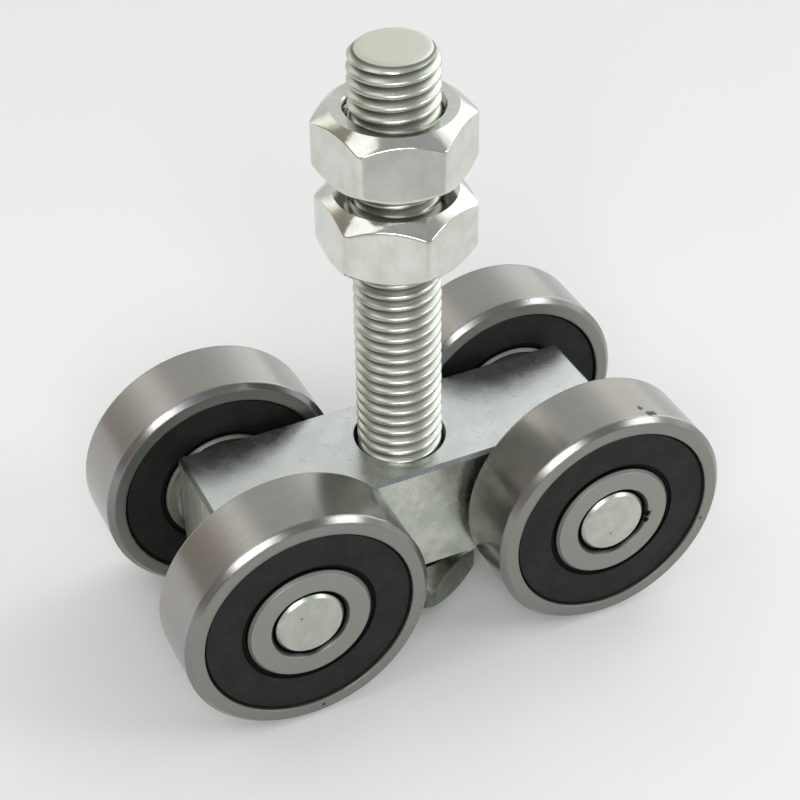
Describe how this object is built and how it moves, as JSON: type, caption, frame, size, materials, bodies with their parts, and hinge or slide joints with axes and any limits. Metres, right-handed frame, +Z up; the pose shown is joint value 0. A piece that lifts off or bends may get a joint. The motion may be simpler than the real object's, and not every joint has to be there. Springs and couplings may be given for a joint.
{
  "type": "sliding door hanger wheel",
  "caption": "Sliding door hanger wheel: a steel block on ball-bearing wheels runs in a top track, and an upright hex bolt with nuts holds the door's bracket.",
  "frame": {"origin": "on the running surface under the wheels, on the hanger bolt's axis", "axes": "+Z up along the hanger bolt, X along the track, -Y towards the viewer's side of the picture"},
  "size_m": [0.081, 0.042, 0.0875],
  "materials": {
    "zinc_block": "zinc plated bar, slightly mottled",
    "zinc_axle": "zinc plated, turned",
    "bearing_steel": "ground bearing steel",
    "polished_ball": "polished steel",
    "pressed_sheet": "pressed steel sheet",
    "seal_rubber": "matte black rubber",
    "zinc_bolt": "bright zinc plated",
    "zinc_nut": "bright zinc plated"
  },
  "bodies": {
    "carriage": {"carriage_block": "zinc_block", "left_axle": "zinc_axle", "right_axle": "zinc_axle", "front_left_spacer": "zinc_axle", "front_left_inner_ring": "bearing_steel", "front_right_spacer": "zinc_axle", "front_right_inner_ring": "bearing_steel", "back_left_spacer": "zinc_axle", "back_left_inner_ring": "bearing_steel", "back_right_spacer": "zinc_axle", "back_right_inner_ring": "bearing_steel"},
    "front_left_wheel": {"front_left_outer_ring": "bearing_steel", "front_left_outer_seal": "seal_rubber", "front_left_inner_seal": "seal_rubber"},
    "front_left_ball_set": {"front_left_cage": "pressed_sheet", "front_left_balls": "polished_ball"},
    "front_right_wheel": {"front_right_outer_ring": "bearing_steel", "front_right_outer_seal": "seal_rubber", "front_right_inner_seal": "seal_rubber"},
    "front_right_ball_set": {"front_right_cage": "pressed_sheet", "front_right_balls": "polished_ball"},
    "back_left_wheel": {"back_left_outer_ring": "bearing_steel", "back_left_outer_seal": "seal_rubber", "back_left_inner_seal": "seal_rubber"},
    "back_left_ball_set": {"back_left_cage": "pressed_sheet", "back_left_balls": "polished_ball"},
    "back_right_wheel": {"back_right_outer_ring": "bearing_steel", "back_right_outer_seal": "seal_rubber", "back_right_inner_seal": "seal_rubber"},
    "back_right_ball_set": {"back_right_cage": "pressed_sheet", "back_right_balls": "polished_ball"},
    "hanger": {"hanger_bolt": "zinc_bolt"},
    "lower_nut": {"lower_nut": "zinc_nut"},
    "upper_nut": {"upper_nut": "zinc_nut"}
  },
  "joints": [
    {"name": "front_left_wheel_spin", "type": "hinge", "parent": "carriage", "child": "front_left_wheel", "pos_m": [-0.023, -0.0155, 0.0175], "axis": [0, 1, 0], "continuous": true},
    {"name": "front_left_ball_set_spin", "type": "hinge", "parent": "carriage", "child": "front_left_ball_set", "pos_m": [-0.023, -0.0155, 0.0175], "axis": [0, 1, 0], "continuous": true},
    {"name": "front_right_wheel_spin", "type": "hinge", "parent": "carriage", "child": "front_right_wheel", "pos_m": [0.023, -0.0155, 0.0175], "axis": [0, 1, 0], "continuous": true},
    {"name": "front_right_ball_set_spin", "type": "hinge", "parent": "carriage", "child": "front_right_ball_set", "pos_m": [0.023, -0.0155, 0.0175], "axis": [0, 1, 0], "continuous": true},
    {"name": "back_left_wheel_spin", "type": "hinge", "parent": "carriage", "child": "back_left_wheel", "pos_m": [-0.023, 0.0155, 0.0175], "axis": [0, 1, 0], "continuous": true},
    {"name": "back_left_ball_set_spin", "type": "hinge", "parent": "carriage", "child": "back_left_ball_set", "pos_m": [-0.023, 0.0155, 0.0175], "axis": [0, 1, 0], "continuous": true},
    {"name": "back_right_wheel_spin", "type": "hinge", "parent": "carriage", "child": "back_right_wheel", "pos_m": [0.023, 0.0155, 0.0175], "axis": [0, 1, 0], "continuous": true},
    {"name": "back_right_ball_set_spin", "type": "hinge", "parent": "carriage", "child": "back_right_ball_set", "pos_m": [0.023, 0.0155, 0.0175], "axis": [0, 1, 0], "continuous": true},
    {"name": "hanger_swivel", "type": "hinge", "parent": "carriage", "child": "hanger", "pos_m": [0, 0, 0.0175], "axis": [0, 0, 1], "continuous": true},
    {"name": "lower_nut_travel", "type": "slide", "parent": "hanger", "child": "lower_nut", "axis": [0, 0, 1], "range_m": [-0.0308, 0.0012]},
    {"name": "upper_nut_travel", "type": "slide", "parent": "hanger", "child": "upper_nut", "axis": [0, 0, 1], "range_m": [-0.0012, 0.0175]}
  ],
  "couplings": [
    {"joint": "front_left_ball_set_spin", "follows": "front_left_wheel_spin", "ratio": 0.64111},
    {"joint": "front_right_ball_set_spin", "follows": "front_right_wheel_spin", "ratio": 0.64111},
    {"joint": "back_left_ball_set_spin", "follows": "back_left_wheel_spin", "ratio": 0.64111},
    {"joint": "back_right_ball_set_spin", "follows": "back_right_wheel_spin", "ratio": 0.64111}
  ]
}
